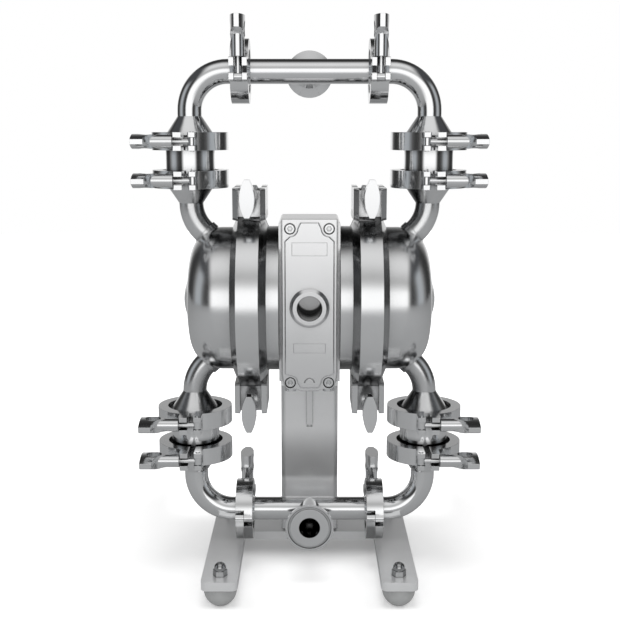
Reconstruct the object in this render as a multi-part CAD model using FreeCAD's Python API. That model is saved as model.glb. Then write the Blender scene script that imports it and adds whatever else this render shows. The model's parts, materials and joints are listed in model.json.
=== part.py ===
import FreeCAD, Part
import math
import os

# Air-operated double-diaphragm pump with sanitary clamped fittings, in millimetres.
# X runs across the pump along the diaphragm shaft, -Y faces the viewer, Z is up from the floor.
# The pump is symmetric about X = 0, and the manifolds, legs and valves lie in the plane Y = 0.

Vector = FreeCAD.Vector
ORIGIN = Vector(0, 0, 0)
X_AXIS = Vector(1, 0, 0)
Y_AXIS = Vector(0, 1, 0)
Z_AXIS = Vector(0, 0, 1)
CUT_MARGIN = 1.0
FLAT_TOLERANCE = 0.001

# Layout
manifold_rise = 237.4
base_clamp_gap = 6.6
leg_offset = 125.0
valve_rise = 146.8
valve_length = 39.0
manifold_joint_offset = 71.2
port_reach = 59.0

# Tubing and ferrules
tube_radius = 12.7
tube_wall = 1.65
elbow_radius = 40.0
spool_radius = 25.7
spool_wall = 1.65
reducer_length = 25.4
gasket_thickness = 1.8
ferrule_rim_thickness = 2.85
ferrule_slope_deg = 20.0
small_ferrule_radius = 25.25
small_ferrule_shoulder = 15.4
small_ferrule_length = 10.5
large_ferrule_radius = 32.0
gasket_groove_radius = 21.75
gasket_groove_width = 2.6
gasket_groove_depth = 1.2
spool_neck_length = 3.2
spool_neck_step = 0.5

# Fluid covers
dome_radius = 76.0
dome_wall = 3.0
dome_shoulder_start = 92.5
dome_shoulder_radius = 34.0
dome_shoulder_deg = 80.0
dome_boss_radius = 22.0
dome_boss_height = 5.0
stub_bend_radius = 42.0
stub_bend_deg = 47.0
stub_collar_radius = 14.3
stub_collar_length = 7.0
stub_entry_depth = 16.0

# Clamp bands between the air covers and the fluid covers
band_offset = 62.2
band_outer_radius = 95.0
band_bore_gap = 2.0
band_crown_half = 11.2
band_skirt_half = 18.2
band_wall = 3.5
band_gap = 5.0
band_clearance = 0.12
flange_gap = 1.0
lug_width = 34.0
lug_wall = 5.6
lug_rise = 24.0
lug_sink = 9.5
lug_front = 37.0
lug_web_front = 32.0
lug_web_thickness = 8.0
lug_web_sink = 6.0
lug_corner_radius = 3.0
band_bolt_outset = 15.2
band_bolt_radius = 4.9
band_bolt_head_flats = 17.0
band_bolt_head_height = 6.4

# Centre housing and its covers
housing_half_width = 31.5
housing_half_depth = 50.0
housing_top = 86.0
housing_bottom = 80.0
housing_edge_radius = 3.0
housing_boss_depth = 12.0
cover_thickness = 8.0
cover_width = 56.3
front_cover_top = 89.5
rear_cover_top = 82.5
cover_lobe_bottom = 88.6
cover_lobe_slope = 4.7
cover_corner_radius = 7.0
cover_lobe_half = 9.0
cover_screw_x = 19.8
cover_screw_z = 79.6
cover_screw_head_radius = 5.0
cover_screw_head_height = 5.0
cover_screw_pocket_radius = 5.8
cover_screw_shank_radius = 2.9
cover_screw_length = 14.0
cover_screw_hex_flats = 5.0
cover_screw_chamfer = 0.6
cover_screw_hex_depth = 2.6
cover_edge_radius = 1.0
panel_height = 1.6
panel_edge_depth = 1.5
panel_edge_inset = 0.9
panel_half_width = 25.2
panel_side_top = 67.0
panel_side_bottom = 70.0
panel_neck_half = 9.2
panel_bottom = 84.9
panel_margin = 3.5
panel_screw_clearance = 7.6
panel_arc_radius = 5.6
panel_arc_width = 1.2
panel_arc_depth = 0.8
panel_arc_drop = 79.6
front_port_drop = 1.0
front_port_radius = 12.85
front_port_depth = 36.0
front_port_boss_radius = 20.3
front_port_face_radius = 17.2
front_port_boss_height = 5.5
rear_port_radius = 9.5
rear_port_depth = 30.0
rear_port_boss_radius = 16.0
rear_port_boss_height = 4.0

# Shaft, diaphragms and air valve
shaft_radius = 9.0
shaft_hub_reach = 2.3
shaft_clearance = 0.06
air_cover_shaft_clearance = 0.5
bushing_radius = 12.0
bushing_length = 18.0
fit_clearance = 0.02
air_cover_gap = 1.0
air_cover_web = 8.0
air_cover_bowl_radius = 40.0
air_cover_bowl_inset = 4.0
diaphragm_thickness = 3.0
diaphragm_edge_inset = 2.0
diaphragm_fold_inner = 40.0
diaphragm_bead_inset = 2.0
diaphragm_fold_height = 6.5
plate_radius = 38.0
air_plate_thickness = 5.0
fluid_plate_thickness = 6.0
fluid_plate_hub_radius = 16.0
fluid_plate_hub_height = 8.0
air_valve_rise = 45.0
air_valve_radius = 11.0
air_valve_neck_radius = 7.0
air_valve_half_length = 24.0
air_valve_land = 7.0

# Check valves
ball_radius = 15.0
ball_clearance = 0.3
ball_lift = 6.0
seat_height = 6.0
seat_edge_radius = 12.9
seat_throat_radius = 11.5
seat_chamfer_height = 2.2
insert_clearance = 0.15
insert_flange_radius = 31.0
cage_ring_wall = 4.0
cage_ring_height = 6.0
cage_rib_width = 3.0
cage_hub_radius = 4.0
cage_rib_count = 3

# Joint clamps on the ferrules
clamp_width = 18.3
clamp_joint_clearance = 0.1
clamp_rim_clearance = 0.3
large_clamp_radius = 40.0
large_clamp_lip = 29.5
small_clamp_radius = 33.0
small_clamp_lip = 22.5
ear_gap = 6.3
ear_thickness = 8.4
ear_root_depth = 6.0
ear_end_length = 6.0
ear_corner_radius = 1.5
bolt_axis_outset = 9.0
ear_slot_width = 8.5
slotted_ear_thickness = 9.0
hinge_pin_inset = 3.5
hinge_pin_radius = 2.5
knuckle_radius = 5.0
knuckle_side_gap = 0.3
knuckle_clearance = 4.2
pin_clearance = 0.05
pivot_pin_radius = 2.3
pivot_pin_length = 19.6
bolt_radius = 3.0
bolt_eye_radius = 4.4
bolt_eye_thickness = 8.0
bolt_in_nut = 20.0

# Wing nuts
nut_seat_gap = 0.3
nut_length = 39.5
nut_barrel_radius = 6.75
nut_barrel_length = 22.0
nut_blade_start = 10.0
nut_blade_root_half = 1.0
nut_wing_half = 19.0
nut_wing_length = 12.7
nut_thickness = 15.0
nut_root_thickness = 12.6
nut_tip_thickness = 5.0
nut_hole_radius = 8.0
nut_hole_setback = 13.0
nut_thread_clearance = 0.08

# Stand
runner_inner = 73.7
runner_width = 37.8
runner_half_length = 107.0
runner_thickness = 9.5
runner_corner_radius = 7.0
foot_radius = 17.3
foot_height = 22.8
foot_rim_height = 5.5
foot_flat_radius = 4.0
foot_setback = 19.0
stud_radius = 4.0
stud_clearance = 0.5
cap_nut_flats = 13.0
cap_nut_hex_height = 6.5
cap_nut_height = 14.4
cap_nut_chamfer = 0.3
cross_plate_front = 29.6
cross_plate_depth = 62.0
column_width = 64.0
column_front = 33.0
column_depth = 30.0
column_wall = 3.5
column_bend_radius = 6.0
column_notch_width = 3.0
column_notch_height = 2.0
saddle_half_width = 30.0
saddle_clearance = 0.5
saddle_thickness = 8.0
gusset_thickness = 6.3
gusset_drop = 62.0
gusset_reach = 10.0
gusset_foot_reach = 3.0
gusset_slot_height = 3.4
gusset_slot_depth = 2.5
saddle_screw_x = 20.0
saddle_screw_rows = (-24.0, 16.0)
saddle_screw_radius = 4.0
saddle_screw_length = 22.0
saddle_screw_head_radius = 6.5
saddle_screw_head_height = 8.0
saddle_screw_clearance = 0.3

# Values worked out from the sizes above
bore_radius = tube_radius - tube_wall
spool_bore = spool_radius - spool_wall
half_gasket = gasket_thickness / 2
ferrule_slope = math.tan(math.radians(ferrule_slope_deg))
valve_joint_rise = valve_rise + valve_length / 2
valve_joint_drop = valve_rise - valve_length / 2
base_top = foot_height + runner_thickness
axis_height = base_top + base_clamp_gap + small_clamp_radius + manifold_rise
runner_centre = runner_inner + runner_width / 2
foot_y = runner_half_length - foot_setback
cover_face = housing_half_depth + cover_thickness
panel_face = cover_face + panel_height
saddle_top = axis_height - housing_bottom
saddle_underside = saddle_top - saddle_thickness
diaphragm_face = band_offset - diaphragm_thickness / 2
fluid_face = band_offset + diaphragm_thickness / 2
shaft_half_length = fluid_face + fluid_plate_thickness + shaft_hub_reach
diaphragm_fold_outer = dome_radius - dome_wall - diaphragm_bead_inset
pivot_offset = ear_gap / 2 + ear_thickness / 2
slotted_ear_face = ear_gap / 2 + slotted_ear_thickness
nut_face = slotted_ear_face + nut_seat_gap
bolt_length = pivot_offset + nut_face + bolt_in_nut
nut_plane = lug_web_front + nut_seat_gap
band_inner_radius = dome_radius + band_bore_gap
flange_radius = band_outer_radius - band_wall - flange_gap
air_cover_radius = band_inner_radius - air_cover_gap
air_cover_bowl_edge = dome_radius - air_cover_bowl_inset
diaphragm_radius = flange_radius - diaphragm_edge_inset
lug_reach = band_outer_radius + lug_rise
lug_root = band_outer_radius - lug_sink
lug_web_root = band_outer_radius - lug_web_sink
band_bolt_rise = band_outer_radius + band_bolt_outset


def turned(outline, base=ORIGIN, direction=Z_AXIS):
    """Solid of revolution of (radius, height) points; a point with four values is reached by an arc."""
    edges = []
    for start, end in zip(outline, outline[1:] + outline[:1]):
        first = Vector(start[0], 0, start[1])
        last = Vector(end[0], 0, end[1])
        if len(end) == 4:
            edges.append(Part.Arc(first, Vector(end[2], 0, end[3]), last).toShape())
        else:
            edges.append(Part.makeLine(first, last))
    solid = Part.Face(Part.Wire(edges)).revolve(ORIGIN, Z_AXIS, 360)
    return aimed(solid, base, direction)


def prism(outline, thickness, bottom=0.0):
    """Extrusion along Z of (x, y) points; a point with four values is reached by an arc."""
    edges = []
    for start, end in zip(outline, outline[1:] + outline[:1]):
        first = Vector(start[0], start[1], bottom)
        last = Vector(end[0], end[1], bottom)
        if len(end) == 4:
            edges.append(Part.Arc(first, Vector(end[2], end[3], bottom), last).toShape())
        else:
            edges.append(Part.makeLine(first, last))
    return Part.Face(Part.Wire(edges)).extrude(Vector(0, 0, thickness))


def cap(radius, height, rise):
    """Point on the axis that closes an outline with a round cap of a radius, from a height up by a rise."""
    sphere = (radius ** 2 + rise ** 2) / (2 * rise)
    half_angle = math.asin(radius / sphere) / 2
    top = height + rise
    return 0, top, sphere * math.sin(half_angle), top - sphere * (1 - math.cos(half_angle))


def aimed(shape, base, direction):
    """Turns a shape built along Z towards a direction and moves its origin to a base point."""
    result = shape.copy()
    result.Placement = FreeCAD.Placement(base, FreeCAD.Rotation(Z_AXIS, direction)) * shape.Placement
    return result


def oriented(shape, base, x_direction, y_direction, z_direction):
    """Places a shape by the directions of its own three axes."""
    result = shape.copy()
    turn = FreeCAD.Rotation(x_direction, y_direction, z_direction, "XYZ")
    result.Placement = FreeCAD.Placement(base, turn) * shape.Placement
    return result


def rod(radius, start, end):
    direction = end.sub(start)
    return Part.makeCylinder(radius, direction.Length, start, direction)


def block(low, high):
    size = Vector(*high).sub(Vector(*low))
    return Part.makeBox(size.x, size.y, size.z, Vector(*low))


def edges_at(shape, height):
    """Edges that lie in the level plane at a height."""
    return [edge for edge in shape.Edges
            if abs(edge.BoundBox.ZMin - height) < FLAT_TOLERANCE and edge.BoundBox.ZLength < FLAT_TOLERANCE]


def hexagon(flats, height, base, direction):
    corner = flats / math.sqrt(3)
    points = []
    for step in range(6):
        angle = math.radians(60 * step)
        points.append((corner * math.cos(angle), corner * math.sin(angle)))
    return aimed(prism(points, height), base, direction)


def bent_rod(radius, start, tangent, centre, axis, angle):
    """Round bar that follows an arc about a centre, from a start point with a given tangent."""
    circle = Part.Wire(Part.Circle(start, tangent, radius).toShape())
    return Part.Face(circle).revolve(centre, axis, angle)


def joined(shapes):
    """Fuses touching shapes into one clean solid."""
    return shapes[0].fuse(shapes[1:]).removeSplitter()


def mirrored(shape, normal):
    return shape.mirror(Vector(0, 0, axis_height), normal)


def four_quarters(shape):
    """The shape in the upper right quarter of the pump and its mirror copies in the other three."""
    upper = [shape, mirrored(shape, X_AXIS)]
    return upper + [mirrored(one, Z_AXIS) for one in upper]


def at_height(x, y, rise):
    return Vector(x, y, axis_height + rise)


def export(name, shapes):
    solids = [solid for shape in shapes for solid in shape.Solids]
    shape = solids[0] if len(solids) == 1 else Part.makeCompound(solids)
    shape.exportStep("parts/" + name + ".step")


# Ferrules, tubes and elbows


def ferrule_back(rim_radius, radius):
    """Height of a ferrule's sloped back above its joint plane, at a radius."""
    return half_gasket + ferrule_rim_thickness + (rim_radius - radius) * ferrule_slope


def small_ferrule(base, direction):
    """Ferrule of the tube size, without its bore; base lies in the joint plane."""
    shoulder_height = ferrule_back(small_ferrule_radius, small_ferrule_shoulder)
    outline = [
        (0, half_gasket),
        (small_ferrule_radius, half_gasket),
        (small_ferrule_radius, half_gasket + ferrule_rim_thickness),
        (small_ferrule_shoulder, shoulder_height),
        (tube_radius, small_ferrule_length),
        (0, small_ferrule_length),
    ]
    return turned(outline, base, direction)


def reducer(base, direction):
    """Large ferrule with a cone down to the tube, without its bore; base lies in the joint plane."""
    outline = [
        (0, half_gasket),
        (large_ferrule_radius, half_gasket),
        (large_ferrule_radius, half_gasket + ferrule_rim_thickness),
        (spool_radius, ferrule_back(large_ferrule_radius, spool_radius)),
        (tube_radius, reducer_length),
        (0, reducer_length),
    ]
    return turned(outline, base, direction)


def reducer_bore(base, direction):
    outline = [
        (0, 0),
        (spool_bore, 0),
        (spool_bore, ferrule_back(large_ferrule_radius, spool_radius)),
        (bore_radius, reducer_length),
        (0, reducer_length),
    ]
    return turned(outline, base, direction)


def elbow():
    """Upper right corner elbow: valve ferrule and cone, bend, and manifold ferrule."""
    joint = at_height(leg_offset, 0, valve_joint_rise)
    cone_end = joint.add(Vector(0, 0, reducer_length))
    bend_start = at_height(leg_offset, 0, manifold_rise - elbow_radius)
    centre = at_height(leg_offset - elbow_radius, 0, manifold_rise - elbow_radius)
    bend_end = at_height(leg_offset - elbow_radius, 0, manifold_rise)
    manifold_joint = at_height(manifold_joint_offset, 0, manifold_rise)
    ferrule_end = manifold_joint.add(Vector(small_ferrule_length, 0, 0))
    turn_axis = Vector(0, -1, 0)
    outer = joined([
        reducer(joint, Z_AXIS),
        rod(tube_radius, cone_end, bend_start),
        bent_rod(tube_radius, bend_start, Z_AXIS, centre, turn_axis, 90),
        rod(tube_radius, ferrule_end, bend_end),
        small_ferrule(manifold_joint, X_AXIS),
    ])
    inner = joined([
        reducer_bore(joint, Z_AXIS),
        rod(bore_radius, cone_end, bend_start),
        bent_rod(bore_radius, bend_start, Z_AXIS, centre, turn_axis, 90),
        rod(bore_radius, manifold_joint, bend_end),
    ])
    return outer.cut(inner)


def manifold():
    """Suction manifold: straight tube between two joints, with a tee branch towards the front."""
    centre = at_height(0, 0, -manifold_rise)
    left = at_height(-manifold_joint_offset, 0, -manifold_rise)
    right = at_height(manifold_joint_offset, 0, -manifold_rise)
    forwards = Y_AXIS * -1
    port_face = centre.add(forwards * port_reach)
    port_joint = centre.add(forwards * (port_reach + half_gasket))
    ferrule_shift = Vector(small_ferrule_length, 0, 0)
    outer = joined([
        rod(tube_radius, left.add(ferrule_shift), right.sub(ferrule_shift)),
        small_ferrule(left, X_AXIS),
        small_ferrule(right, X_AXIS * -1),
        rod(tube_radius, centre, port_joint.sub(forwards * small_ferrule_length)),
        small_ferrule(port_joint, Y_AXIS),
    ])
    inner = joined([rod(bore_radius, left, right), rod(bore_radius, centre, port_joint)])
    groove = [
        (gasket_groove_radius - gasket_groove_width / 2, -CUT_MARGIN),
        (gasket_groove_radius + gasket_groove_width / 2, -CUT_MARGIN),
        (gasket_groove_radius + gasket_groove_width / 2, gasket_groove_depth),
        (gasket_groove_radius - gasket_groove_width / 2, gasket_groove_depth),
    ]
    return outer.cut([inner, turned(groove, port_face, Y_AXIS)])


def manifold_gasket(side, rise):
    joint = at_height(side * manifold_joint_offset - half_gasket, 0, rise)
    outline = [
        (bore_radius, 0),
        (small_ferrule_radius, 0),
        (small_ferrule_radius, gasket_thickness),
        (bore_radius, gasket_thickness),
    ]
    return turned(outline, joint, X_AXIS)


# Check valves


def valve_spool(side, rise):
    """Short tube between two large ferrules, with a slightly thicker neck at its upper end."""
    back = ferrule_back(large_ferrule_radius, spool_radius)
    rim = half_gasket + ferrule_rim_thickness
    neck_end = valve_length - back - spool_neck_length
    neck_radius = spool_radius + spool_neck_step
    outline = [
        (spool_bore, half_gasket),
        (large_ferrule_radius, half_gasket),
        (large_ferrule_radius, rim),
        (spool_radius, back),
        (spool_radius, neck_end),
        (neck_radius, neck_end),
        (neck_radius, valve_length - ferrule_back(large_ferrule_radius, neck_radius)),
        (large_ferrule_radius, valve_length - rim),
        (large_ferrule_radius, valve_length - half_gasket),
        (spool_bore, valve_length - half_gasket),
    ]
    return turned(outline, at_height(side * leg_offset, 0, rise - valve_length / 2))


def valve_seat(side, rise):
    """Ring clamped in the lower joint of a valve, whose upper edge carries the ball."""
    body_radius = spool_bore - insert_clearance
    outline = [
        (seat_throat_radius, -half_gasket),
        (insert_flange_radius, -half_gasket),
        (insert_flange_radius, half_gasket),
        (body_radius, half_gasket),
        (body_radius, seat_height),
        (seat_edge_radius, seat_height),
        (seat_throat_radius, seat_height - seat_chamfer_height),
    ]
    return turned(outline, at_height(side * leg_offset, 0, rise - valve_length / 2))


def ball_height():
    """Height of a resting ball's centre above the lower joint plane."""
    drop = math.sqrt(ball_radius ** 2 - seat_edge_radius ** 2)
    return seat_height + drop + ball_clearance


def valve_ball(side, rise):
    joint_rise = rise - valve_length / 2
    return Part.makeSphere(ball_radius, at_height(side * leg_offset, 0, joint_rise + ball_height()))


def ball_cage(side, rise):
    """Ring clamped in the upper joint, with ribs that stop the lifted ball."""
    joint = valve_length
    body_radius = spool_bore - insert_clearance
    ring = turned([
        (body_radius - cage_ring_wall, joint - cage_ring_height),
        (body_radius, joint - cage_ring_height),
        (body_radius, joint - half_gasket),
        (insert_flange_radius, joint - half_gasket),
        (insert_flange_radius, joint + half_gasket),
        (body_radius - cage_ring_wall, joint + half_gasket),
    ])
    stop = ball_height() + ball_radius + ball_lift + ball_clearance
    rib_height = joint + half_gasket - stop
    parts = [ring, Part.makeCylinder(cage_hub_radius, rib_height, Vector(0, 0, stop))]
    for step in range(cage_rib_count):
        rib = Part.makeBox(body_radius - cage_ring_wall / 2, cage_rib_width, rib_height,
                           Vector(0, -cage_rib_width / 2, stop))
        rib.rotate(ORIGIN, Z_AXIS, 360 * step / cage_rib_count)
        parts.append(rib)
    cage = joined(parts)
    return aimed(cage, at_height(side * leg_offset, 0, rise - valve_length / 2), Z_AXIS)


# Pump chambers


def band_slope(radius):
    """Distance from the band's middle plane to the outside of its sloped flank, at a radius."""
    share = (band_outer_radius - radius) / (band_outer_radius - band_inner_radius)
    return band_crown_half + share * (band_skirt_half - band_crown_half)


def flank_offset(thickness):
    """Shift along X of a line parallel to the flank, at a distance of thickness inside it."""
    run = band_skirt_half - band_crown_half
    rise = band_outer_radius - band_inner_radius
    return thickness * math.hypot(run, rise) / rise


def flange_half(radius):
    """Half width that the covers' flanges may fill under the band, at a radius."""
    return band_slope(radius) - flank_offset(band_wall + band_clearance)


def dome_outline(wall, end_radius=0):
    """Radius and height points of the dome's outer or inner surface, from its rim to an end radius."""
    shoulder = dome_shoulder_radius - wall
    centre = dome_radius - dome_shoulder_radius
    angle = math.radians(dome_shoulder_deg)
    middle = angle / 2
    crown_radius = centre / math.cos(angle) + shoulder
    shoulder_end_r = centre + shoulder * math.cos(angle)
    shoulder_end_x = dome_shoulder_start + shoulder * math.sin(angle)
    crown_centre = shoulder_end_x - crown_radius * math.sin(angle)
    end_angle = math.asin(end_radius / crown_radius)
    middle_angle = (math.asin(shoulder_end_r / crown_radius) + end_angle) / 2
    return [
        (dome_radius - wall, dome_shoulder_start),
        (shoulder_end_r, shoulder_end_x,
         centre + shoulder * math.cos(middle), dome_shoulder_start + shoulder * math.sin(middle)),
        (end_radius, crown_centre + crown_radius * math.cos(end_angle),
         crown_radius * math.sin(middle_angle), crown_centre + crown_radius * math.cos(middle_angle)),
    ]


def stub_path():
    """Start, centre and end of the bend that leads from a fluid cover to its valve."""
    start = at_height(leg_offset, 0, valve_joint_drop - reducer_length)
    centre = start.sub(Vector(stub_bend_radius, 0, 0))
    angle = math.radians(stub_bend_deg)
    end = centre.add(Vector(math.cos(angle), 0, -math.sin(angle)) * stub_bend_radius)
    inwards = Vector(-math.sin(angle), 0, -math.cos(angle))
    return start, centre, end, inwards


def stub_outer():
    start, centre, end, inwards = stub_path()
    joint = at_height(leg_offset, 0, valve_joint_drop)
    downwards = Z_AXIS * -1
    return [
        reducer(joint, downwards),
        bent_rod(tube_radius, start, downwards, centre, Y_AXIS, stub_bend_deg),
        rod(tube_radius, end, end.add(inwards * (stub_collar_length + dome_wall))),
        rod(stub_collar_radius, end, end.add(inwards * stub_collar_length)),
    ]


def stub_inner():
    start, centre, end, inwards = stub_path()
    joint = at_height(leg_offset, 0, valve_joint_drop)
    downwards = Z_AXIS * -1
    return [
        reducer_bore(joint, downwards),
        bent_rod(bore_radius, start, downwards, centre, Y_AXIS, stub_bend_deg),
        rod(bore_radius, end, end.add(inwards * stub_entry_depth)),
    ]


def with_mirror(shapes):
    return shapes + [mirrored(one, Z_AXIS) for one in shapes]


def fluid_cover():
    """Right fluid cover: clamped rim, domed shell with a shallow boss, and two tube stubs."""
    centre = at_height(0, 0, 0)
    rim_back = band_offset + flange_half(dome_radius)
    rim_edge = band_offset + flange_half(flange_radius)
    surface = dome_outline(0, dome_boss_radius)
    boss = cap(dome_boss_radius, surface[2][1], dome_boss_height)
    shell = turned(
        [(0, fluid_face), (flange_radius, fluid_face), (flange_radius, rim_edge), (dome_radius, rim_back)]
        + surface + [boss], centre, X_AXIS)
    hollow = turned(
        [(0, fluid_face - CUT_MARGIN), (dome_radius - dome_wall, fluid_face - CUT_MARGIN)]
        + dome_outline(dome_wall), centre, X_AXIS)
    outer = joined([shell] + with_mirror(stub_outer()))
    inner = joined([hollow] + with_mirror(stub_inner()))
    return outer.cut(inner)


def air_cover():
    """Right air cover: a dish against the housing, with the rim that the band clamps."""
    web_face = housing_half_width + air_cover_web
    hole = shaft_radius + air_cover_shaft_clearance
    outline = [
        (hole, housing_half_width),
        (air_cover_radius, housing_half_width),
        (air_cover_radius, band_offset - flange_half(air_cover_radius)),
        (flange_radius, band_offset - flange_half(flange_radius)),
        (flange_radius, diaphragm_face),
        (air_cover_bowl_edge, diaphragm_face),
        (air_cover_bowl_radius, web_face),
        (hole, web_face),
    ]
    return turned(outline, at_height(0, 0, 0), X_AXIS)


def band_half(side, front):
    """Half of a clamp band: a channel ring and its lugs, cut at the plane Y = 0."""
    crown = band_outer_radius - band_wall
    inner_crown_half = band_slope(crown) - flank_offset(band_wall)
    inner_skirt_half = band_skirt_half - flank_offset(band_wall)
    outline = [
        (band_inner_radius, -band_skirt_half),
        (band_outer_radius, -band_crown_half),
        (band_outer_radius, band_crown_half),
        (band_inner_radius, band_skirt_half),
        (band_inner_radius, inner_skirt_half),
        (crown, inner_crown_half),
        (crown, -inner_crown_half),
        (band_inner_radius, -inner_skirt_half),
    ]
    ring = turned(outline, ORIGIN, X_AXIS)
    keep = block((-lug_width, -band_outer_radius - CUT_MARGIN, -band_outer_radius - CUT_MARGIN),
                 (lug_width, -band_gap / 2, band_outer_radius + CUT_MARGIN))
    pieces = [ring.common(keep)]
    for up in (1, -1):
        pieces += band_lug(up)
    half = joined(pieces)
    for up in (1, -1):
        half = half.cut(rod(band_bolt_radius + fit_clearance, Vector(0, -lug_front, up * band_bolt_rise),
                            Vector(0, 0, up * band_bolt_rise)))
    if not front:
        half = half.mirror(ORIGIN, Y_AXIS)
    return aimed(half, at_height(side * band_offset, 0, 0), Z_AXIS)


def band_lug(up):
    """Two side walls and a bolt web that stand on the front half of a band."""
    pieces = []
    for side in (1, -1):
        wall = block((lug_width / 2 - lug_wall, -lug_front, lug_root),
                     (lug_width / 2, -band_gap / 2, lug_reach))
        corners = [edge for edge in wall.Edges
                   if edge.BoundBox.ZMin > lug_reach - CUT_MARGIN and edge.BoundBox.XLength > lug_wall / 2]
        wall = wall.makeFillet(lug_corner_radius, corners)
        pieces.append(wall if side == 1 else wall.mirror(ORIGIN, X_AXIS))
    pieces.append(block((-lug_width / 2 + lug_wall / 2, -lug_web_front, lug_web_root),
                        (lug_width / 2 - lug_wall / 2, lug_web_thickness - lug_web_front,
                         lug_reach - lug_corner_radius)))
    if up == 1:
        return pieces
    return [piece.mirror(ORIGIN, Z_AXIS) for piece in pieces]


def band_bolt(side, up):
    """Hexagon bolt through both lugs, with its head behind."""
    x = side * band_offset
    rise = up * band_bolt_rise
    seat = at_height(x, lug_web_front, rise)
    shank = rod(band_bolt_radius, at_height(x, -nut_plane - bolt_in_nut, rise), seat)
    head = hexagon(band_bolt_head_flats, band_bolt_head_height, seat, Y_AXIS)
    return shank.fuse(head)


def diaphragm():
    """Right diaphragm: clamped bead, one fold and a flat middle."""
    fold_middle = (diaphragm_fold_inner + diaphragm_fold_outer) / 2
    outline = [
        (shaft_radius + fit_clearance, diaphragm_face),
        (diaphragm_fold_inner + diaphragm_thickness, diaphragm_face),
        (diaphragm_fold_outer - diaphragm_thickness, diaphragm_face,
         fold_middle, diaphragm_face + diaphragm_fold_height),
        (diaphragm_radius, diaphragm_face),
        (diaphragm_radius, fluid_face),
        (diaphragm_fold_outer, fluid_face),
        (diaphragm_fold_inner, fluid_face, fold_middle, fluid_face + diaphragm_fold_height),
        (shaft_radius + fit_clearance, fluid_face),
    ]
    return turned(outline, at_height(0, 0, 0), X_AXIS)


def diaphragm_plates():
    """Right air-side and fluid-side plates, which hold the diaphragm on the shaft."""
    centre = at_height(0, 0, 0)
    bore = shaft_radius + fit_clearance
    air_plate = turned([
        (bore, diaphragm_face - air_plate_thickness),
        (plate_radius - fluid_plate_hub_height, diaphragm_face - air_plate_thickness),
        (plate_radius, diaphragm_face - air_plate_thickness / 2),
        (plate_radius, diaphragm_face),
        (bore, diaphragm_face),
    ], centre, X_AXIS)
    hub = fluid_face + fluid_plate_thickness
    fluid_plate = turned([
        (0, shaft_half_length + fit_clearance),
        (bore, shaft_half_length + fit_clearance),
        (bore, fluid_face),
        (plate_radius, fluid_face),
        (plate_radius, fluid_face + fluid_plate_thickness / 2),
        (fluid_plate_hub_radius, hub),
        cap(fluid_plate_hub_radius, hub, fluid_plate_hub_height),
    ], centre, X_AXIS)
    return [air_plate, fluid_plate]


def diaphragm_shaft():
    return rod(shaft_radius, at_height(-shaft_half_length, 0, 0), at_height(shaft_half_length, 0, 0))


def shaft_bushing(side):
    outer = housing_half_width
    start = at_height(side * (outer - bushing_length), 0, 0)
    end = at_height(side * outer, 0, 0)
    bore = rod(shaft_radius + shaft_clearance, start, end)
    return rod(bushing_radius - fit_clearance, start, end).cut(bore)


def air_valve_spool():
    """Spool with three lands, which slides in the housing above the shaft."""
    half = air_valve_half_length
    land = air_valve_radius - shaft_clearance
    neck = air_valve_neck_radius
    outline = [
        (0, -half),
        (land, -half),
        (land, air_valve_land - half),
        (neck, air_valve_land - half),
        (neck, -air_valve_land / 2),
        (land, -air_valve_land / 2),
        (land, air_valve_land / 2),
        (neck, air_valve_land / 2),
        (neck, half - air_valve_land),
        (land, half - air_valve_land),
        (land, half),
        (0, half),
    ]
    return turned(outline, at_height(0, 0, air_valve_rise), X_AXIS)


# Housing


def center_housing():
    """Block between the air covers, bored for the shaft, the air valve and the two ports."""
    body = block((-housing_half_width, -housing_half_depth, axis_height - housing_bottom),
                 (housing_half_width, housing_half_depth, axis_height + housing_top))
    long_edges = [edge for edge in body.Edges if edge.BoundBox.YLength > housing_half_depth
                  and edge.BoundBox.ZMin > axis_height]
    body = body.makeFillet(housing_edge_radius, long_edges)
    side = housing_half_width + CUT_MARGIN
    cuts = [
        rod(bushing_radius, at_height(-side, 0, 0), at_height(side, 0, 0)),
        rod(air_valve_radius, at_height(-side, 0, air_valve_rise), at_height(side, 0, air_valve_rise)),
        port_bore(-1, front_port_radius, front_port_depth),
        port_bore(1, rear_port_radius, rear_port_depth),
    ]
    screw_reach = cover_face - cover_screw_head_height - cover_screw_length
    pieces = [body]
    for depth_side in (1, -1):
        pieces.append(upright(prism(cover_outline(depth_side), housing_boss_depth,
                                    housing_half_depth - housing_boss_depth), depth_side))
        for x, rise in cover_screw_places():
            cuts.append(rod(cover_screw_shank_radius + fit_clearance,
                            at_height(x, depth_side * screw_reach, rise),
                            at_height(x, depth_side * cover_face, rise)))
    for x, y in saddle_screw_places():
        cuts.append(rod(saddle_screw_radius + fit_clearance, Vector(x, y, saddle_top - CUT_MARGIN),
                        Vector(x, y, saddle_underside + saddle_screw_length)))
    return joined(pieces).cut(cuts)


def port_bore(depth_side, radius, depth):
    outside = depth_side * (panel_face + front_port_boss_height + CUT_MARGIN)
    inside = depth_side * (cover_face - depth)
    return rod(radius, at_height(0, inside, -front_port_drop), at_height(0, outside, -front_port_drop))


def cover_screw_places():
    places = []
    for x in (-cover_screw_x, cover_screw_x):
        for rise in (-cover_screw_z, cover_screw_z):
            places.append((x, rise))
    return places


def saddle_screw_places():
    return [(x, y) for x in (-saddle_screw_x, saddle_screw_x) for y in saddle_screw_rows]


def cover_top(depth_side):
    return front_cover_top if depth_side < 0 else rear_cover_top


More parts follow.
